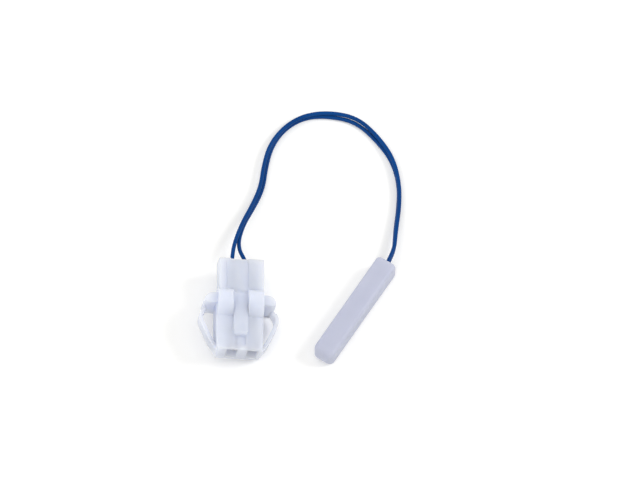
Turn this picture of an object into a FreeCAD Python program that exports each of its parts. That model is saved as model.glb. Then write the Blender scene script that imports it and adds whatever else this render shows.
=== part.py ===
import FreeCAD, Part
import math
import os

# A probe with a thermistor inside, two thin leads and a panel plug, in millimetres.
# The probe lies flat along Y with its wire end towards +Y, and the origin is under its middle.

# Probe case
probe_length = 39.1
probe_width = 7.0
probe_height = 7.0
probe_edge_radius = 1.2
probe_tip_radius = 2.3
probe_tip_side_radius = 3.0
probe_mouth_radius = 1.4
bore_width = 3.8
bore_height = 3.6
bore_corner_radius = 0.6
tip_wall = 2.0
potting_recess = 0.5

# Thermistor, splices and sleeves in the probe
chip_side = 1.0
chip_thickness = 0.4
bead_diameter = 2.4
bead_length = 3.4
bead_gap_to_tip = 0.8
leg_diameter = 0.3
leg_length_on_chip = 0.75
leg_straight_in_bead = 0.9
leg_spread_length = 2.8
sleeve_wall = 0.2
splice_length = 5.0
splice_diameter = 1.1
strand_length = 2.6

# Leads
lead_diameter = 1.3
strand_diameter = 0.6
lead_pitch_in_probe = 1.5
lead_depth_in_probe = 5.5
lead_straight_at_probe = 3.6

# Plug housing, in its own frame: X across, Y from the mating face to the wires, Z up
plug_width = 15.1
plug_thickness = 8.0
plug_length = 31.6
plug_edge_radius = 0.6
plug_front_width = 14.3
plug_taper_length = 4.0
plug_front_radius = 1.0
plug_face_radius = 0.5
rear_left_x = -6.65
rear_right_x = 7.75
rear_drop = 1.8
way_left_x = -2.3
way_right_x = 4.3
mouth_width = 3.4
mouth_height = 5.6
mouth_rise = 0.5
mouth_depth = 2.5
wire_bay_depth = 2.9
wire_bay_height = 3.6
groove_width = 0.5
groove_depth = 0.3
groove_left_x = -4.3
groove_right_x = 2.45
groove_to_collar = 0.6
ledge_left_x = -2.9
ledge_length = 1.5
ledge_drop = 0.6
rib_x = 0.2
rib_width = 4.5
rib_from_front = 6.0
ridge_radius = 0.9
ridge_length = 4.7
ridge_from_front = 5.95
pocket_width = 3.5
pocket_length = 3.3
pocket_depth = 0.4
pocket_from_front = 1.5

# Humps on the plug's top, side by side on the flange
hump_width = 4.9
hump_height = 2.6
hump_left_x = -4.75
hump_right_x = 5.05
hump_side_depth = 3.0
hump_top_from_front = 17.8
hump_front_reach = 6.2
hump_back_reach = 2.8
hump_edge_radius = 0.8

# Flange, collar and sprung arms of the plug
flange_width = 23.0
flange_height = 9.4
flange_thickness = 3.3
flange_from_front = 15.7
flange_end_radius = 2.9
flange_front_radius = 0.3
flange_corner_radius = 0.7
collar_width = 15.2
collar_thickness = 4.3
collar_edge_radius = 0.9
arm_thickness = 1.2
arm_height = 4.4
arm_root_reach = 7.3
arm_root_from_front = 0.2
arm_root_depth = 0.8
arm_knee_reach = 9.4
arm_knee_from_front = 3.2
arm_knee_radius = 8.0
arm_corner_reach = 13.3
arm_corner_from_front = 11.8
arm_bow_radius = 4.8
arm_step = 0.4
arm_step_length = 1.3
arm_tip_reach = 11.3
arm_gap_to_flange = 0.5

# Crimp contact in the plug
sheet_thickness = 0.25
contact_width = 2.4
contact_height = 2.4
contact_length = 7.0
contact_clearance = 0.2
tongue_height = 0.5
strip_width = 1.4
crimp_length = 2.2
crimp_gap = 1.2
lead_grip_length = 2.0
lead_depth_in_plug = 6.3
lead_straight_left = 4.0
lead_straight_right = 3.1

# Where the plug lies: its front face's middle, its heading from the probe's and its roll
plug_front_x = -22.12
plug_front_y = -33.52
plug_heading = 32.7
plug_roll = 9.0

# Free points of the two leads, from the plug to the probe, chosen along the loop
left_lead_points = [
    (-42.2, -5.8, 6.3),
    (-44.3, -1.5, 5.4),
    (-46.4, 6.2, 4.2),
    (-47.4, 13.8, 3.1),
    (-48.9, 21.1, 2.3),
    (-52.3, 28.1, 2.1),
    (-54.6, 35.5, 2.1),
    (-54.0, 43.4, 2.1),
    (-50.7, 50.2, 2.1),
    (-44.4, 55.4, 1.8),
    (-36.3, 58.4, 1.6),
    (-27.6, 56.5, 1.8),
    (-19.1, 52.6, 2.1),
    (-12.6, 46.2, 2.1),
    (-8.0, 39.1, 2.3),
    (-4.3, 31.2, 2.9),
]
right_lead_points = [
    (-38.0, -4.8, 5.5),
    (-43.3, -1.2, 4.4),
    (-46.1, 6.2, 2.9),
    (-46.9, 13.8, 1.7),
    (-48.2, 21.4, 0.9),
    (-51.6, 28.4, 0.7),
    (-54.1, 35.6, 0.7),
    (-53.9, 43.2, 0.7),
    (-50.5, 50.1, 0.7),
    (-44.0, 54.6, 0.7),
    (-36.2, 57.2, 0.7),
    (-27.9, 55.6, 0.7),
    (-19.3, 52.2, 0.7),
    (-12.7, 46.2, 0.7),
    (-8.3, 38.9, 0.8),
    (-4.6, 31.1, 1.5),
]

# The bends of a lead take this share of the shorter run beside them
bend_share = 0.45

# Worked out from the sizes above
lead_radius = lead_diameter / 2
axis_height = probe_height / 2
mouth_y = probe_length / 2
bore_end_y = -probe_length / 2 + tip_wall
chip_y = bore_end_y + bead_gap_to_tip + bead_length / 2
insulation_end_y = mouth_y - lead_depth_in_probe
splice_end_y = insulation_end_y - strand_length / 2
splice_start_y = splice_end_y - splice_length
splice_middle_y = splice_end_y - splice_length / 2
leg_turn_y = chip_y + chip_side / 2 + leg_straight_in_bead
leg_level_y = leg_turn_y + leg_spread_length
sleeve_start_y = leg_level_y + leg_spread_length / 2
ways = {"left": way_left_x, "right": way_right_x}
straights = {"left": lead_straight_left, "right": lead_straight_right}
levels = {"left": lead_pitch_in_probe / 2, "right": -lead_pitch_in_probe / 2}
lead_end_in_plug_y = plug_length - lead_depth_in_plug
contact_floor_z = -lead_radius - sheet_thickness
plug_top_z = plug_thickness / 2


def vec(x, y, z=0.0):
    return FreeCAD.Vector(x, y, z)


def block(low, high):
    """A box from its lowest to its highest corner."""
    size = [b - a for a, b in zip(low, high)]
    return Part.makeBox(size[0], size[1], size[2], vec(low[0], low[1], low[2]))


def rod(start, end, radius):
    """A round bar between two points."""
    direction = end - start
    return Part.makeCylinder(radius, direction.Length, start, direction)


def prism(points, direction):
    """A closed flat outline pushed along a direction."""
    wire = Part.makePolygon(points + [points[0]])
    return Part.Face(wire).extrude(direction)


def turn_at(before, corner, after):
    """The directions into and out of a corner, and the angle between them."""
    into = (corner - before).normalize()
    out = (after - corner).normalize()
    return into, out, into.getAngle(out)


def corner_arc(corner, into, out, turn, radius):
    """The start, the middle and the end of the arc that rounds a corner."""
    cut = radius * math.tan(turn / 2)
    bow = radius / math.cos(turn / 2) - radius
    return corner - into * cut, corner + (out - into).normalize() * bow, corner + out * cut


def rounded_face(corners, radii):
    """A flat face from its corners in order, each rounded by its radius."""
    arcs = []
    for index, (corner, radius) in enumerate(zip(corners, radii)):
        following = corners[(index + 1) % len(corners)]
        into, out, turn = turn_at(corners[index - 1], corner, following)
        arcs.append(corner_arc(corner, into, out, turn, radius))
    edges = []
    for index, (start, middle, end) in enumerate(arcs):
        if radii[index] > 0:
            edges.append(Part.Arc(start, middle, end).toShape())
        following = arcs[(index + 1) % len(arcs)][0]
        if (following - end).Length > 1e-6:
            edges.append(Part.LineSegment(end, following).toShape())
    return Part.Face(Part.Wire(Part.__sortEdges__(edges)))


def rounded_plate(low, high, radii, axis):
    """A block whose four edges along one axis are rounded, in order round the outline."""
    a, b = [i for i in range(3) if i != axis]
    corners = []
    for u, v in [(low[a], low[b]), (high[a], low[b]), (high[a], high[b]), (low[a], high[b])]:
        point = [0.0, 0.0, 0.0]
        point[a] = u
        point[b] = v
        point[axis] = low[axis]
        corners.append(vec(*point))
    depth = [0.0, 0.0, 0.0]
    depth[axis] = high[axis] - low[axis]
    return rounded_face(corners, radii).extrude(vec(*depth))


def rounded_path(points):
    """Straight runs joined by tangent arcs, with the radii of the arcs."""
    edges = []
    radii = []
    here = points[0]
    for before, corner, after in zip(points, points[1:], points[2:]):
        into, out, turn = turn_at(before, corner, after)
        shorter = min((corner - before).Length, (after - corner).Length)
        radius = bend_share * shorter / math.tan(turn / 2)
        start, middle, end = corner_arc(corner, into, out, turn, radius)
        edges.append(Part.LineSegment(here, start).toShape())
        edges.append(Part.Arc(start, middle, end).toShape())
        radii.append(radius)
        here = end
    edges.append(Part.LineSegment(here, points[-1]).toShape())
    return Part.Wire(edges), radii


def tube_along(points, diameter):
    """A solid round wire along a rounded path."""
    path, radii = rounded_path(points)
    heading = points[1] - points[0]
    ring = Part.Wire(Part.makeCircle(diameter / 2, points[0], heading))
    return path.makePipeShell([ring], True, False), path.Length, radii


def plug_place():
    """Where the plug lies: rolled onto the lower right edge of its flange, then turned."""
    roll = math.radians(plug_roll)
    reach = flange_width / 2 - flange_corner_radius
    drop = flange_height / 2 - flange_corner_radius
    height = reach * math.sin(roll) + drop * math.cos(roll) + flange_corner_radius
    turn = FreeCAD.Rotation(vec(0, 0, 1), plug_heading)
    tip = FreeCAD.Rotation(vec(0, 1, 0), plug_roll)
    return FreeCAD.Placement(vec(plug_front_x, plug_front_y, height), turn.multiply(tip))


def in_plug(shape):
    """A piece made in the plug's frame, moved to where the plug lies."""
    moved = shape.copy()
    moved.transformShape(plug_place().toMatrix())
    return moved


def plug_point(x, y, z):
    return plug_place().multVec(vec(x, y, z))


def probe_case():
    half = probe_width / 2
    low = (-half, -probe_length / 2, 0)
    high = (half, probe_length / 2, probe_height)
    along = rounded_plate(low, high, [probe_edge_radius] * 4, 1)
    plan_radii = [probe_tip_radius, probe_tip_radius, probe_mouth_radius, probe_mouth_radius]
    plan = rounded_plate(low, high, plan_radii, 2)
    side_radii = [probe_tip_side_radius, probe_mouth_radius, probe_mouth_radius, probe_tip_side_radius]
    side = rounded_plate(low, high, side_radii, 0)
    return along.common(plan).common(side).cut(bore_space(mouth_y + 1))


def bore_space(end_y):
    """The room inside the case, from its closed end to a given place along the probe."""
    low = (-bore_width / 2, bore_end_y, axis_height - bore_height / 2)
    high = (bore_width / 2, end_y, axis_height + bore_height / 2)
    return rounded_plate(low, high, [bore_corner_radius] * 4, 1)


def chip_shape():
    half = chip_side / 2
    low = (-half, chip_y - half, axis_height - chip_thickness / 2)
    high = (half, chip_y + half, axis_height + chip_thickness / 2)
    return block(low, high)


def leg_points(level):
    """A leg lies on the chip, spreads to its lead's level and runs into the splice."""
    side = 1 if level > 0 else -1
    chip_level = axis_height + side * (chip_thickness + leg_diameter) / 2
    return [
        vec(0, chip_y + chip_side / 2 - leg_length_on_chip, chip_level),
        vec(0, leg_turn_y, chip_level),
        vec(0, leg_level_y, axis_height + level),
        vec(0, splice_middle_y, axis_height + level),
    ]


def leg_shape(level):
    return tube_along(leg_points(level), leg_diameter)[0]


def capsule(centre, radius, length):
    """A bar along Y with round ends, given its middle and its length over the ends."""
    reach = vec(0, length / 2 - radius, 0)
    bar = rod(centre - reach, centre + reach, radius)
    ends = [Part.makeSphere(radius, centre - reach), Part.makeSphere(radius, centre + reach)]
    return bar.fuse(ends).removeSplitter()


def bead_shape(inner):
    """The coating is a drop round the chip and the start of both legs."""
    bead = capsule(vec(0, chip_y, axis_height), bead_diameter / 2, bead_length)
    for piece in inner:
        bead = bead.cut(piece)
    return bead


def along_axis(level, start_y, end_y, radius):
    return rod(vec(0, start_y, axis_height + level), vec(0, end_y, axis_height + level), radius)


def sleeve_shape(level):
    outer = along_axis(level, sleeve_start_y, splice_start_y, leg_diameter / 2 + sleeve_wall)
    return outer.cut(along_axis(level, sleeve_start_y, splice_start_y, leg_diameter / 2))


def splice_shape(level):
    """A crimp barrel, closed on the leg at one end and on the strands at the other."""
    barrel = along_axis(level, splice_start_y, splice_end_y, splice_diameter / 2)
    barrel = barrel.cut(along_axis(level, splice_start_y, splice_middle_y, leg_diameter / 2))
    return barrel.cut(along_axis(level, splice_middle_y, splice_end_y, strand_diameter / 2))


def probe_strand_shape(level):
    return along_axis(level, splice_middle_y, insulation_end_y, strand_diameter / 2)


def potting_shape(held):
    resin = bore_space(mouth_y - potting_recess)
    for piece in held:
        resin = resin.cut(piece)
    return resin


def lead_route(side):
    """A lead leaves its way straight, follows its free points and enters the probe straight."""
    way = ways[side]
    level = axis_height + levels[side]
    free = left_lead_points if side == "left" else right_lead_points
    points = [plug_point(way, lead_end_in_plug_y, 0)]
    points.append(plug_point(way, lead_end_in_plug_y + straights[side], 0))
    points += [vec(x, y, z) for x, y, z in free]
    points.append(vec(0, mouth_y + lead_straight_at_probe, level))
    points.append(vec(0, insulation_end_y, level))
    return points


def plug_strand_shape(way):
    start = vec(way, crimp_start_y(), 0)
    end = vec(way, lead_end_in_plug_y, 0)
    return rod(start, end, strand_diameter / 2)


def crimp_start_y():
    return lead_end_in_plug_y - crimp_gap - crimp_length


def terminal_shape(way):
    """A box contact, a floor strip, a crimp on the strands and a grip on the insulation."""
    half = contact_width / 2
    front = mouth_depth + contact_clearance
    back = front + contact_length
    roof = contact_floor_z + contact_height
    shell = block((way - half, front, contact_floor_z), (way + half, back, roof))
    t = sheet_thickness
    hollow_low = (way - half + t, front - 1, contact_floor_z + t)
    hollow_high = (way + half - t, back + 1, roof - t)
    shell = shell.cut(block(hollow_low, hollow_high))
    grip_end = lead_end_in_plug_y + lead_grip_length
    strip_low = (way - strip_width / 2, back - t, contact_floor_z)
    strip = block(strip_low, (way + strip_width / 2, grip_end, -lead_radius))
    tongue_floor = contact_floor_z + t
    tongue = prism([
        vec(way - half / 2, back, tongue_floor),
        vec(way - half / 2, front + t, tongue_floor),
        vec(way - half / 2, (front + back) / 2, tongue_floor + tongue_height),
    ], vec(half, 0, 0))
    crimp_start = crimp_start_y()
    crimp_end = crimp_start + crimp_length
    barrel = rod(vec(way, crimp_start, 0), vec(way, crimp_end, 0), strand_diameter / 2 + t)
    foot = block((way - t, crimp_start, contact_floor_z), (way + t, crimp_end, 0))
    grip = rod(vec(way, lead_end_in_plug_y, 0), vec(way, grip_end, 0), lead_radius + t)
    metal = shell.fuse([strip, tongue, barrel, foot, grip])
    lead_end = vec(way, lead_end_in_plug_y, 0)
    metal = metal.cut(rod(vec(way, crimp_start - 1, 0), lead_end, strand_diameter / 2))
    metal = metal.cut(rod(lead_end, vec(way, grip_end + 1, 0), lead_radius))
    return metal.removeSplitter()


def way_space(way):
    """The room for one terminal: a tall mouth, then a close channel towards the wires."""
    low_z = mouth_rise - mouth_height / 2
    mouth_high = (way + mouth_width / 2, mouth_depth, mouth_rise + mouth_height / 2)
    mouth = block((way - mouth_width / 2, -1, low_z), mouth_high)
    half = contact_width / 2 + contact_clearance
    roof = contact_floor_z + contact_height + contact_clearance
    channel_low = (way - half, mouth_depth - 1, contact_floor_z)
    channel = block(channel_low, (way + half, plug_length + 1, roof))
    return mouth.fuse(channel)


def wire_bay():
    """The wide room behind both channels, where the leads turn out of the plug."""
    half = contact_width / 2 + contact_clearance
    low = (way_left_x - half, plug_length - wire_bay_depth, -wire_bay_height / 2)
    return block(low, (way_right_x + half, plug_length + 1, wire_bay_height / 2))


def flange_shape():
    low = (-flange_width / 2, flange_from_front, -flange_height / 2)
    high = (flange_width / 2, flange_from_front + flange_thickness, flange_height / 2)
    front = flange_front_radius
    plan = rounded_plate(low, high, [front, front, flange_end_radius, flange_end_radius], 2)
    face = rounded_plate(low, high, [flange_corner_radius] * 4, 1)
    return plan.common(face)


def collar_shape():
    """The thicker middle of the flange, rounded down to the body behind it."""
    low = (-collar_width / 2, flange_from_front, -flange_height / 2)
    high = (collar_width / 2, flange_from_front + collar_thickness, flange_height / 2)
    front = flange_front_radius
    radii = [front, collar_edge_radius, collar_edge_radius, front]
    return rounded_plate(low, high, radii, 0)


def arc_from_crest(crest, end):
    """An arc that leaves the crest level and comes down to its end."""
    drop = crest.z - end.z
    reach = end.y - crest.y
    radius = (reach ** 2 + drop ** 2) / (2 * drop)
    half_turn = math.atan(drop / abs(reach))
    along = math.copysign(radius * math.sin(half_turn), reach)
    middle = crest + vec(0, along, radius * (math.cos(half_turn) - 1))
    return Part.Arc(crest, middle, end).toShape()


def hump_shape(x):
    """A fairing on the top face: long in front of its crest, short behind it."""
    low = x - hump_width / 2
    crest = vec(low, hump_top_from_front, plug_top_z + hump_height)
    foot = vec(low, hump_top_from_front - hump_front_reach, plug_top_z)
    heel = vec(low, hump_top_from_front + hump_back_reach, plug_top_z)
    edges = [arc_from_crest(crest, foot), arc_from_crest(crest, heel)]
    sunk = vec(0, 0, -hump_side_depth)
    below = Part.makePolygon([foot, foot + sunk, heel + sunk, heel])
    face = Part.Face(Part.Wire(Part.__sortEdges__(edges + below.Edges)))
    fairing = face.extrude(vec(hump_width, 0, 0))
    box_low = (low, foot.y - 1, foot.z + sunk.z)
    box_high = (low + hump_width, heel.y + 1, crest.z)
    radii = [0, 0, hump_edge_radius, hump_edge_radius]
    return fairing.common(rounded_plate(box_low, box_high, radii, 1))


def inward(heading):
    """The way to the inner side of an arm that runs along a heading."""
    return vec(-heading.y, heading.x)


def arm_shape(side):
    """A thin leaf from the front corner, bowed out, with a step at its free tip."""
    root = vec(arm_root_reach, arm_root_from_front)
    knee = vec(arm_knee_reach, arm_knee_from_front)
    corner = vec(arm_corner_reach, arm_corner_from_front)
    tip = vec(arm_tip_reach, flange_from_front - arm_gap_to_flange)
    start = (knee - root).normalize()
    end = (tip - corner).normalize()
    inner = [root + inward(start) * arm_thickness]
    for before, bend, after in ((root, knee, corner), (knee, corner, tip)):
        into, out, turn = turn_at(before, bend, after)
        inner.append(bend + (out - into).normalize() * (arm_thickness / math.cos(turn / 2)))
    inner.append(tip + inward(end) * arm_thickness)
    step = tip - end * arm_step_length
    notch = inward(end) * arm_step
    sunk = vec(-arm_root_depth, 0)
    corners = [root + sunk, root, knee, corner, step, step + notch, tip + notch]
    corners += inner[::-1] + [inner[0] + sunk]
    radii = [0, 0, arm_knee_radius, arm_bow_radius, 0, 0, 0]
    radii += [0, arm_bow_radius - arm_thickness, arm_knee_radius - arm_thickness, 0, 0]
    placed = [vec(side * point.x, point.y, -arm_height / 2) for point in corners]
    return rounded_face(placed, radii).extrude(vec(0, 0, arm_height))


def lock_ridge():
    """The half-round catch across the front end of the rib."""
    reach = vec(ridge_length / 2 - ridge_radius, 0, 0)
    middle = vec(rib_x, ridge_from_front, plug_top_z)
    ends = [Part.makeSphere(ridge_radius, middle - reach), Part.makeSphere(ridge_radius, middle + reach)]
    return rod(middle - reach, middle + reach, ridge_radius).fuse(ends).removeSplitter()


def plug_front():
    """The block in front of the flange: it narrows a little to the mating face."""
    half = plug_width / 2
    front_half = plug_front_width / 2
    split = flange_from_front + flange_thickness / 2
    low = (-half, 0, -plug_top_z)
    high = (half, split, plug_top_z)
    outline = [(-front_half, 0), (front_half, 0), (half, plug_taper_length)]
    outline += [(half, split), (-half, split), (-half, plug_taper_length)]
    corners = [vec(x, y, -plug_top_z) for x, y in outline]
    plan = rounded_face(corners, [plug_front_radius, plug_front_radius, 0, 0, 0, 0])
    across = rounded_plate(low, high, [plug_edge_radius] * 4, 1)
    side = rounded_plate(low, high, [plug_face_radius, 0, 0, plug_face_radius], 0)
    return across.common(plan.extrude(vec(0, 0, plug_thickness))).common(side)


def plug_body():
    """The plain block, clear of the floor behind the flange."""
    split = flange_from_front + flange_thickness / 2
    rear_low = (rear_left_x, split, -plug_top_z + rear_drop)
    rear_high = (rear_right_x, plug_length, plug_top_z)
    return plug_front().fuse(rounded_plate(rear_low, rear_high, [plug_edge_radius] * 4, 1))


def plug_housing():
    rib_low = (rib_x - rib_width / 2, rib_from_front, 0)
    rib_high = (rib_x + rib_width / 2, flange_from_front + 1, flange_height / 2)
    raised = [flange_shape(), collar_shape(), block(rib_low, rib_high)]
    raised += [hump_shape(x) for x in (hump_left_x, hump_right_x)]
    raised += [arm_shape(side) for side in (-1, 1)]
    body = plug_body().fuse(raised)
    above = plug_top_z + 1
    groove_start = flange_from_front + collar_thickness + groove_to_collar
    for x in (groove_left_x, groove_right_x):
        groove_low = (x - groove_width / 2, groove_start, plug_top_z - groove_depth)
        body = body.cut(block(groove_low, (x + groove_width / 2, plug_length + 1, above)))
    ledge_low = (ledge_left_x, plug_length - ledge_length, plug_top_z - ledge_drop)
    body = body.cut(block(ledge_low, (groove_right_x, plug_length + 1, above)))
    pocket_low = (rib_x - pocket_width / 2, pocket_from_front, plug_top_z - pocket_depth)
    pocket_high = (rib_x + pocket_width / 2, pocket_from_front + pocket_length, above)
    body = body.cut(block(pocket_low, pocket_high))
    body = body.fuse(lock_ridge())
    for way in ways.values():
        body = body.cut(way_space(way))
    return body.cut(wire_bay()).removeSplitter()


def build():
    """Every piece by its name."""
    parts = {"probe_case": probe_case()}
    chip = chip_shape()
    parts["thermistor_chip"] = chip
    held = []
    for side, level in levels.items():
        parts["thermistor_leg_" + side] = leg_shape(level)
        parts["leg_sleeve_" + side] = sleeve_shape(level)
        parts["splice_" + side] = splice_shape(level)
        parts["probe_strands_" + side] = probe_strand_shape(level)
        names = ("thermistor_leg_", "leg_sleeve_", "splice_", "probe_strands_")
        held += [parts[name + side] for name in names]
        held.append(along_axis(level, insulation_end_y, mouth_y, lead_radius))
    legs = [parts["thermistor_leg_left"], parts["thermistor_leg_right"]]
    parts["thermistor_bead"] = bead_shape([chip] + legs)
    parts["potting_resin"] = potting_shape([parts["thermistor_bead"], chip] + held)
    for side, way in ways.items():
        parts["plug_strands_" + side] = in_plug(plug_strand_shape(way))
        parts["terminal_" + side] = in_plug(terminal_shape(way))
        tube, length, radii = tube_along(lead_route(side), lead_diameter)
        parts["lead_wire_" + side] = tube
        expected = math.pi * lead_radius ** 2 * length
        print("lead", side, "length", round(length, 1), "volume ratio", round(tube.Volume / expected, 4))
        print("bend radii", [round(r, 1) for r in radii])
    parts["plug_housing"] = in_plug(plug_housing())
    return parts


os.makedirs("parts", exist_ok=True)
for name, shape in build().items():
    shape.exportStep("parts/" + name + ".step")
    print(name, "solids", len(shape.Solids), "volume", round(shape.Volume, 2), "valid", shape.isValid())
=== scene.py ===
import math

import bmesh
import bpy
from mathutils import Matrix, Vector


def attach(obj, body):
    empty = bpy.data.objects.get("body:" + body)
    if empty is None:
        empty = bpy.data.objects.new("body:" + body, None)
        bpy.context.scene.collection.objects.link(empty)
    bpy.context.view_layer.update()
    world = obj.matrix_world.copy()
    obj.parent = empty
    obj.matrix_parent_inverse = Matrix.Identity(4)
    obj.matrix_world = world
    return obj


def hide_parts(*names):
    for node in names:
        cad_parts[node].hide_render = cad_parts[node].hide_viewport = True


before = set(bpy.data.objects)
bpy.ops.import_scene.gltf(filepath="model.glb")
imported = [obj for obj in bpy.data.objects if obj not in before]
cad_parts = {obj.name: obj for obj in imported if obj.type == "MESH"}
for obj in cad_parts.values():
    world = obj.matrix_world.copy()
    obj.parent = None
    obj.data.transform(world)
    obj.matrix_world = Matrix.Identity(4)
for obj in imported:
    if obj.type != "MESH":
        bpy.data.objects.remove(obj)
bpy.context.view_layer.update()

MM = 0.001

# The photograph's view: angles in degrees, the aim in millimetres, the picture's width on the floor.
# The floor reaches this many metres each way.
VIEW_AZIMUTH = 32.7
VIEW_ELEVATION = 65.0
VIEW_TARGET = (-23.5, 16.45, 0.0)
VIEW_LENS = 600.0
VIEW_WIDTH = 203.2
FLOOR_REACH = 3

# Probe case, in millimetres, as in the part
PROBE_LENGTH = 39.1
PROBE_WIDTH = 7.0
PROBE_HEIGHT = 7.0
PROBE_EDGE_RADIUS = 1.2
PROBE_TIP_RADIUS = 2.3
PROBE_TIP_SIDE_RADIUS = 3.0
PROBE_MOUTH_RADIUS = 1.4
BORE_WIDTH = 3.8
BORE_HEIGHT = 3.6
BORE_CORNER_RADIUS = 0.6
BORE_LIP_RADIUS = 0.1
TIP_WALL = 2.0

# The probe's skin: its long edges get sharper where the ends draw in, by this much for each
# millimetre, down to the least radius. Rings stand at these shares of the tip's flat face and of
# the straight stretch, and one at this depth in the bore.
EDGE_SHARPENING = 0.27
LEAST_EDGE_RADIUS = 0.4
TIP_FACE_SHARES = (0.35, 0.7)
STRAIGHT_SHARES = (0.25, 0.5, 0.75)
BORE_RING_DEPTH = 1.2
CORNER_STEPS = 10
END_STEPS = 10
LIP_STEPS = 4

# Edge rounding of the moulded plug and the stamped contacts, in millimetres. Points closer than
# the weld distance, in metres, become one, and the angles in degrees tell flat faces from edges.
PLUG_BEVEL = 0.14
CONTACT_BEVEL = 0.03
WELD_DISTANCE = 0.000002
FLAT_ANGLE = 0.6
EDGE_ANGLE = 40

# Potting resin: it stands back from the mouth and climbs a little up each lead. Its skirt is sunk
# a hair into the lead and into the resin, so that no gap shows.
RESIN_RECESS = 0.5
SKIRT_HEIGHT = 0.35
SKIRT_WIDTH = 0.4
SKIRT_IN_LEAD = 0.02
SKIRT_IN_RESIN = 0.01
SKIRT_STEPS = 6
SKIRT_SIDES = 32
LEAD_LEVELS = (4.25, 2.75)

# The leads, in metres: the same points as in the part
LEAD_DIAMETER = 0.0013
LEAD_RUN_STEPS = 16
LEAD_ROUND_STEPS = 8
LEFT_LEAD = [
    (-0.0377, -0.01346, 0.0067),
    (-0.03986, -0.01009, 0.0067),
    (-0.0422, -0.0058, 0.0063),
    (-0.0443, -0.0015, 0.0054),
    (-0.0464, 0.0062, 0.0042),
    (-0.0474, 0.0138, 0.0031),
    (-0.0489, 0.0211, 0.0023),
    (-0.0523, 0.0281, 0.0021),
    (-0.0546, 0.0355, 0.0021),
    (-0.054, 0.0434, 0.0021),
    (-0.0507, 0.0502, 0.0021),
    (-0.0444, 0.0554, 0.0018),
    (-0.0363, 0.0584, 0.0016),
    (-0.0276, 0.0565, 0.0018),
    (-0.0191, 0.0526, 0.0021),
    (-0.0126, 0.0462, 0.0021),
    (-0.008, 0.0391, 0.0023),
    (-0.0043, 0.0312, 0.0029),
    (0.0, 0.02315, 0.00425),
    (0.0, 0.01405, 0.00425),
]
RIGHT_LEAD = [
    (-0.03221, -0.00994, 0.00567),
    (-0.03389, -0.00733, 0.00567),
    (-0.038, -0.0048, 0.0055),
    (-0.0433, -0.0012, 0.0044),
    (-0.0461, 0.0062, 0.0029),
    (-0.0469, 0.0138, 0.0017),
    (-0.0482, 0.0214, 0.0009),
    (-0.0516, 0.0284, 0.0007),
    (-0.0541, 0.0356, 0.0007),
    (-0.0539, 0.0432, 0.0007),
    (-0.0505, 0.0501, 0.0007),
    (-0.044, 0.0546, 0.0007),
    (-0.0362, 0.0572, 0.0007),
    (-0.0279, 0.0556, 0.0007),
    (-0.0193, 0.0522, 0.0007),
    (-0.0127, 0.0462, 0.0007),
    (-0.0083, 0.0389, 0.0008),
    (-0.0046, 0.0311, 0.0015),
    (0.0, 0.02315, 0.00275),
    (0.0, 0.01405, 0.00275),
]

# Colours, linear
PLUG_COLOUR = (0.685, 0.73, 0.895)
PROBE_COLOUR = (0.505, 0.525, 0.645)
LEAD_COLOUR = (0.001, 0.051, 0.218)
RESIN_COLOUR = (0.50, 0.50, 0.55)
CONTACT_COLOUR = (0.80, 0.76, 0.64)
WIRE_COLOUR = (0.80, 0.80, 0.80)
FLOOR_COLOUR = (0.90, 0.895, 0.875)
SCATTER_TINT = (1.0, 0.95, 0.85)

# The stretch of a noise that a colour or a number follows, and how far a metal's roughness spreads
NOISE_LOW = 0.3
NOISE_HIGH = 0.7
METAL_ROUGH_SPREAD = 0.15

# Light: bearings in degrees counter-clockwise from the photograph's right, elevations up from
# the floor, metres, watts. The sky goes from high to low strength away from its bright side.
KEY_BEARING = 6.0
KEY_ELEVATION = 38.0
KEY_DISTANCE = 0.8
KEY_SIZE = 0.34
KEY_POWER = 2.9
SKY_LOW = 0.0
SKY_HIGH = 1.22
SKY_BEARING = 190.0
SKY_ELEVATION = 40.0
SKY_LOW_AT = -0.8
FLOOR_GLOW = 0.19


def link(obj):
    bpy.context.scene.collection.objects.link(obj)
    return obj


def toward(bearing, elevation):
    """A direction from the object, with its bearing counted from the photograph's right."""
    a = math.radians(VIEW_AZIMUTH + bearing)
    e = math.radians(elevation)
    return Vector((math.cos(a) * math.cos(e), math.sin(a) * math.cos(e), math.sin(e)))


def aim(obj, place, target):
    obj.location = place
    obj.rotation_mode = "QUATERNION"
    obj.rotation_quaternion = (target - place).to_track_quat("-Z", "Y")


def make_camera():
    data = bpy.data.cameras.new("camera")
    data.lens = VIEW_LENS
    data.clip_start = 0.01
    data.clip_end = 20
    distance = VIEW_WIDTH * MM * VIEW_LENS / data.sensor_width
    camera = link(bpy.data.objects.new("camera", data))
    target = Vector(VIEW_TARGET) * MM
    aim(camera, target + toward(-90, VIEW_ELEVATION) * distance, target)
    bpy.context.scene.camera = camera


def make_lead(name, points):
    curve = bpy.data.curves.new(name, "CURVE")
    curve.dimensions = "3D"
    spline = curve.splines.new("NURBS")
    spline.points.add(len(points) - 1)
    for point, place in zip(spline.points, points):
        point.co = (*place, 1)
    spline.order_u = 3
    spline.use_endpoint_u = True
    spline.resolution_u = LEAD_RUN_STEPS
    curve.bevel_depth = LEAD_DIAMETER / 2
    curve.bevel_resolution = LEAD_ROUND_STEPS
    curve.use_fill_caps = True
    return link(bpy.data.objects.new(name, curve))


def rounded_ring(half_width, half_height, radius, y, middle_z):
    """Points round a rounded rectangle that stands across the probe's length, in millimetres."""
    ring = []
    for quarter in range(4):
        angle = math.pi / 2 * quarter
        side_x = 1 if quarter in (0, 3) else -1
        side_z = 1 if quarter in (0, 1) else -1
        centre_x = side_x * (half_width - radius)
        centre_z = middle_z + side_z * (half_height - radius)
        for step in range(CORNER_STEPS + 1):
            turn = angle + math.pi / 2 * step / CORNER_STEPS
            ring.append((centre_x + radius * math.cos(turn), y, centre_z + radius * math.sin(turn)))
    return ring


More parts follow.
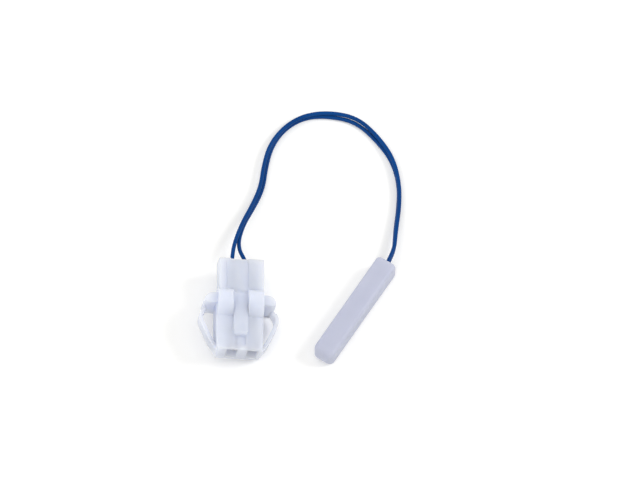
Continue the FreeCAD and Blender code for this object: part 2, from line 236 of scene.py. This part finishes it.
def inset_at_end(distance, radius):
    """How far a rounded end has drawn in at a distance from its face."""
    return radius - math.sqrt(max(radius ** 2 - (radius - distance) ** 2, 0))


def probe_rings():
    """Rings from the middle of the tip, over the outside, round the lip and down the bore."""
    half_w = PROBE_WIDTH / 2
    half_h = PROBE_HEIGHT / 2
    tip_y = -PROBE_LENGTH / 2
    mouth_y = PROBE_LENGTH / 2
    rings = []

    def outer(y, inset_w, inset_h):
        radius = max(PROBE_EDGE_RADIUS - inset_h * EDGE_SHARPENING, LEAST_EDGE_RADIUS)
        rings.append(rounded_ring(half_w - inset_w, half_h - inset_h, radius, y, half_h))

    for share in TIP_FACE_SHARES:
        flat_w = (half_w - PROBE_TIP_RADIUS) * share
        flat_h = (half_h - PROBE_TIP_SIDE_RADIUS) * share
        rings.append(rounded_ring(flat_w, flat_h, LEAST_EDGE_RADIUS * share, tip_y, half_h))
    for step in range(END_STEPS + 1):
        distance = PROBE_TIP_SIDE_RADIUS * (1 - math.cos(math.pi / 2 * step / END_STEPS))
        inset_w = inset_at_end(min(distance, PROBE_TIP_RADIUS), PROBE_TIP_RADIUS)
        outer(tip_y + distance, inset_w, inset_at_end(distance, PROBE_TIP_SIDE_RADIUS))
    for share in STRAIGHT_SHARES:
        straight = PROBE_LENGTH - PROBE_TIP_SIDE_RADIUS - PROBE_MOUTH_RADIUS
        outer(tip_y + PROBE_TIP_SIDE_RADIUS + share * straight, 0, 0)
    for step in range(END_STEPS + 1):
        distance = PROBE_MOUTH_RADIUS * (1 - math.sin(math.pi / 2 * step / END_STEPS))
        inset = inset_at_end(distance, PROBE_MOUTH_RADIUS)
        outer(mouth_y - distance, inset, inset)
    lip = BORE_LIP_RADIUS
    for step in range(LIP_STEPS + 1):
        turn = math.pi / 2 * step / LIP_STEPS
        grown = lip * (1 - math.sin(turn))
        y = mouth_y - lip * (1 - math.cos(turn))
        ring_w = BORE_WIDTH / 2 + grown
        ring_h = BORE_HEIGHT / 2 + grown
        rings.append(rounded_ring(ring_w, ring_h, BORE_CORNER_RADIUS + grown, y, half_h))
    for y in (mouth_y - BORE_RING_DEPTH, tip_y + TIP_WALL):
        rings.append(rounded_ring(BORE_WIDTH / 2, BORE_HEIGHT / 2, BORE_CORNER_RADIUS, y, half_h))
    return rings


def mesh_from_rings(name, rings):
    """A closed skin over rings of equal count, with a flat cap at each end."""
    mesh = bmesh.new()
    rows = [[mesh.verts.new(Vector(point) * MM) for point in ring] for ring in rings]
    for row, following in zip(rows, rows[1:]):
        for index in range(len(row)):
            after = (index + 1) % len(row)
            mesh.faces.new((row[index], row[after], following[after], following[index]))
    mesh.faces.new(list(reversed(rows[0])))
    mesh.faces.new(rows[-1])
    bmesh.ops.recalc_face_normals(mesh, faces=mesh.faces)
    for face in mesh.faces:
        face.smooth = True
    data = bpy.data.meshes.new(name)
    mesh.to_mesh(data)
    mesh.free()
    return link(bpy.data.objects.new(name, data))


def make_skirt(level, index):
    """The resin's small skirt round a lead."""
    base_y = PROBE_LENGTH / 2 - RESIN_RECESS
    radius = LEAD_DIAMETER / MM / 2
    rings = []
    for step in range(SKIRT_STEPS + 1):
        turn = math.pi / 2 * step / SKIRT_STEPS
        reach = radius + SKIRT_WIDTH * (1 - math.sin(turn)) - SKIRT_IN_LEAD
        y = base_y + SKIRT_HEIGHT * (1 - math.cos(turn)) - SKIRT_IN_RESIN
        angles = [2 * math.pi * k / SKIRT_SIDES for k in range(SKIRT_SIDES)]
        rings.append([(reach * math.cos(a), y, level + reach * math.sin(a)) for a in angles])
    return mesh_from_rings("resin_skirt_%d" % index, rings)


def new_material(name):
    material = bpy.data.materials.new(name)
    material.use_nodes = True
    return material, material.node_tree.nodes, material.node_tree.links


def noise(nodes, links, scale, detail, roughness):
    """Noise by object coordinates, so that it stays on the surface."""
    place = nodes.new("ShaderNodeTexCoord")
    texture = nodes.new("ShaderNodeTexNoise")
    texture.inputs["Scale"].default_value = scale
    texture.inputs["Detail"].default_value = detail
    texture.inputs["Roughness"].default_value = roughness
    links.new(place.outputs["Object"], texture.inputs["Vector"])
    return texture.outputs["Fac"]


def between(nodes, links, factor, low, high):
    """A number that follows a factor between two values."""
    spread = nodes.new("ShaderNodeMapRange")
    spread.inputs["From Min"].default_value = NOISE_LOW
    spread.inputs["From Max"].default_value = NOISE_HIGH
    spread.inputs["To Min"].default_value = low
    spread.inputs["To Max"].default_value = high
    links.new(factor, spread.inputs["Value"])
    return spread.outputs["Result"]


def tinted(nodes, links, factor, colour, spread):
    """A colour that wanders a little either side of itself."""
    ramp = nodes.new("ShaderNodeValToRGB")
    ramp.color_ramp.elements[0].position = NOISE_LOW
    ramp.color_ramp.elements[1].position = NOISE_HIGH
    ramp.color_ramp.elements[0].color = (*[c * (1 - s) for c, s in zip(colour, spread)], 1)
    ramp.color_ramp.elements[1].color = (*[c * (1 + s) for c, s in zip(colour, spread)], 1)
    links.new(factor, ramp.inputs["Fac"])
    return ramp.outputs["Color"]


def add_bump(nodes, links, height, distance, strength, under=None):
    bump = nodes.new("ShaderNodeBump")
    bump.inputs["Distance"].default_value = distance
    bump.inputs["Strength"].default_value = strength
    links.new(height, bump.inputs["Height"])
    if under:
        links.new(under, bump.inputs["Normal"])
    return bump.outputs["Normal"]


def moulded_plastic(name, colour, spread, rough, scatter, depth):
    """Satin moulded plastic: a faint cloudy tint, a fine mould grain, slow sink waves and depth."""
    material, nodes, links = new_material(name)
    shader = nodes["Principled BSDF"]
    cloud = noise(nodes, links, scale=180, detail=3, roughness=0.5)
    grain = noise(nodes, links, scale=9000, detail=2, roughness=0.6)
    waves = noise(nodes, links, scale=320, detail=1, roughness=0.4)
    links.new(tinted(nodes, links, cloud, colour, spread), shader.inputs["Base Color"])
    links.new(between(nodes, links, cloud, rough[0], rough[1]), shader.inputs["Roughness"])
    slow = add_bump(nodes, links, waves, distance=0.00008, strength=0.5)
    fine = add_bump(nodes, links, grain, distance=0.000006, strength=0.5, under=slow)
    links.new(fine, shader.inputs["Normal"])
    shader.inputs["Subsurface Weight"].default_value = scatter
    shader.inputs["Subsurface Radius"].default_value = SCATTER_TINT
    shader.inputs["Subsurface Scale"].default_value = depth
    shader.inputs["IOR"].default_value = 1.5
    return material


def extruded_vinyl():
    """Smooth blue insulation with faint lengthwise drag marks and a soft gloss."""
    material, nodes, links = new_material("lead_vinyl")
    shader = nodes["Principled BSDF"]
    cloud = noise(nodes, links, scale=120, detail=3, roughness=0.5)
    marks = noise(nodes, links, scale=2500, detail=2, roughness=0.5)
    colour = tinted(nodes, links, cloud, LEAD_COLOUR, spread=(0.10, 0.10, 0.08))
    links.new(colour, shader.inputs["Base Color"])
    links.new(between(nodes, links, cloud, low=0.34, high=0.46), shader.inputs["Roughness"])
    fine = add_bump(nodes, links, marks, distance=0.00001, strength=0.4)
    links.new(fine, shader.inputs["Normal"])
    shader.inputs["Specular IOR Level"].default_value = 0.1
    return material


def metal(name, colour, rough):
    """Plated sheet or wire with a faint rolled grain."""
    material, nodes, links = new_material(name)
    shader = nodes["Principled BSDF"]
    grain = noise(nodes, links, scale=4000, detail=2, roughness=0.5)
    shade = tinted(nodes, links, grain, colour, spread=(0.05, 0.05, 0.06))
    links.new(shade, shader.inputs["Base Color"])
    roughness = between(nodes, links, grain, low=rough, high=rough + METAL_ROUGH_SPREAD)
    links.new(roughness, shader.inputs["Roughness"])
    shader.inputs["Metallic"].default_value = 1.0
    return material


def floor_material():
    """Plain white, with a glow for the camera and for gloss, so that the shadows stay."""
    material, nodes, links = new_material("floor")
    shader = nodes["Principled BSDF"]
    shader.inputs["Base Color"].default_value = (*FLOOR_COLOUR, 1)
    shader.inputs["Roughness"].default_value = 1.0
    shader.inputs["Specular IOR Level"].default_value = 0.0
    rays = nodes.new("ShaderNodeLightPath")
    either = nodes.new("ShaderNodeMath")
    either.operation = "MAXIMUM"
    links.new(rays.outputs["Is Camera Ray"], either.inputs[0])
    links.new(rays.outputs["Is Glossy Ray"], either.inputs[1])
    seen = nodes.new("ShaderNodeMath")
    seen.operation = "MAXIMUM"
    links.new(either.outputs[0], seen.inputs[0])
    links.new(rays.outputs["Is Transmission Ray"], seen.inputs[1])
    strength = nodes.new("ShaderNodeMath")
    strength.operation = "MULTIPLY"
    links.new(seen.outputs[0], strength.inputs[0])
    strength.inputs[1].default_value = FLOOR_GLOW
    glow = nodes.new("ShaderNodeEmission")
    links.new(strength.outputs[0], glow.inputs["Strength"])
    both = nodes.new("ShaderNodeAddShader")
    links.new(shader.outputs[0], both.inputs[0])
    links.new(glow.outputs[0], both.inputs[1])
    links.new(both.outputs[0], nodes["Material Output"].inputs["Surface"])
    return material


def make_floor():
    mesh = bpy.data.meshes.new("floor")
    r = FLOOR_REACH
    mesh.from_pydata([(-r, -r, 0), (r, -r, 0), (r, r, 0), (-r, r, 0)], [], [(0, 1, 2, 3)])
    floor = link(bpy.data.objects.new("floor", mesh))
    floor.data.materials.append(floor_material())


def area_light(name, bearing, elevation, power, size):
    data = bpy.data.lights.new(name, "AREA")
    data.shape = "DISK"
    data.size = size
    data.energy = power
    light = link(bpy.data.objects.new(name, data))
    target = Vector(VIEW_TARGET) * MM
    aim(light, target + toward(bearing, elevation) * KEY_DISTANCE, target)


def white_room():
    """White all round, brightest above the photograph's left and dimmest low on its right."""
    world = bpy.data.worlds.new("world")
    world.use_nodes = True
    nodes, links = world.node_tree.nodes, world.node_tree.links
    place = nodes.new("ShaderNodeTexCoord")
    facing = nodes.new("ShaderNodeVectorMath")
    facing.operation = "DOT_PRODUCT"
    facing.inputs[1].default_value = toward(SKY_BEARING, SKY_ELEVATION)
    links.new(place.outputs["Generated"], facing.inputs[0])
    strength = nodes.new("ShaderNodeMapRange")
    strength.inputs["From Min"].default_value = SKY_LOW_AT
    strength.inputs["To Min"].default_value = SKY_LOW
    strength.inputs["To Max"].default_value = SKY_HIGH
    links.new(facing.outputs["Value"], strength.inputs["Value"])
    links.new(strength.outputs["Result"], nodes["Background"].inputs["Strength"])
    nodes["Background"].inputs["Color"].default_value = (1, 1, 1, 1)
    return world


def make_light():
    area_light("key", KEY_BEARING, KEY_ELEVATION, KEY_POWER, KEY_SIZE)
    bpy.context.scene.world = white_room()


def dress(node, material, bevel=0, segments=0):
    """Give a carried-over node its material and soften its edges."""
    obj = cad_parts[node]
    obj.data.materials.clear()
    obj.data.materials.append(material)
    if bevel:
        weld = obj.modifiers.new("weld", "WELD")
        weld.merge_threshold = WELD_DISTANCE
        flat = obj.modifiers.new("flat", "DECIMATE")
        flat.decimate_type = "DISSOLVE"
        flat.angle_limit = math.radians(FLAT_ANGLE)
        edge = obj.modifiers.new("edge", "BEVEL")
        edge.width = bevel * MM
        edge.segments = segments
        edge.limit_method = "ANGLE"
        edge.angle_limit = math.radians(EDGE_ANGLE)
        edge.harden_normals = True
        normals = obj.modifiers.new("normals", "WEIGHTED_NORMAL")
        normals.keep_sharp = False
    return obj


def place_piece(piece, material, slot, *nodes):
    piece.data.materials.append(material)
    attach(piece, "root")
    if nodes:
        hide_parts(*nodes)


make_camera()

vinyl = extruded_vinyl()
plug_plastic = moulded_plastic(
    "plug_plastic", PLUG_COLOUR, spread=(0.02, 0.015, 0.01), rough=(0.46, 0.58), scatter=1.0, depth=0.010)
probe_plastic = moulded_plastic(
    "probe_plastic", PROBE_COLOUR, spread=(0.02, 0.02, 0.015), rough=(0.56, 0.66), scatter=0.4, depth=0.003)
resin = moulded_plastic(
    "resin", RESIN_COLOUR, spread=(0.04, 0.04, 0.04), rough=(0.20, 0.35), scatter=0.2, depth=0.006)
contact = metal("contact", CONTACT_COLOUR, rough=0.28)
wire = metal("wire", WIRE_COLOUR, rough=0.30)

leads = {"left": make_lead("lead_left", LEFT_LEAD), "right": make_lead("lead_right", RIGHT_LEAD)}
for side, lead in leads.items():
    place_piece(lead, vinyl, "lead_insulation", "lead_wire_" + side)

probe = mesh_from_rings("probe_shell", probe_rings())
place_piece(probe, probe_plastic, "probe_plastic", "probe_case")
for index, level in enumerate(LEAD_LEVELS):
    place_piece(make_skirt(level, index), resin, "resin")

dress("plug_housing", plug_plastic, PLUG_BEVEL, segments=3)
dress("potting_resin", resin)
for side in ("left", "right"):
    dress("terminal_" + side, contact, CONTACT_BEVEL, segments=1)
    for node in ("plug_strands_", "probe_strands_", "thermistor_leg_"):
        dress(node + side, wire)
    dress("splice_" + side, contact)
    dress("leg_sleeve_" + side, plug_plastic)
dress("thermistor_bead", vinyl)
dress("thermistor_chip", resin)

make_floor()
make_light()
bpy.context.scene.view_settings.view_transform = "Standard"
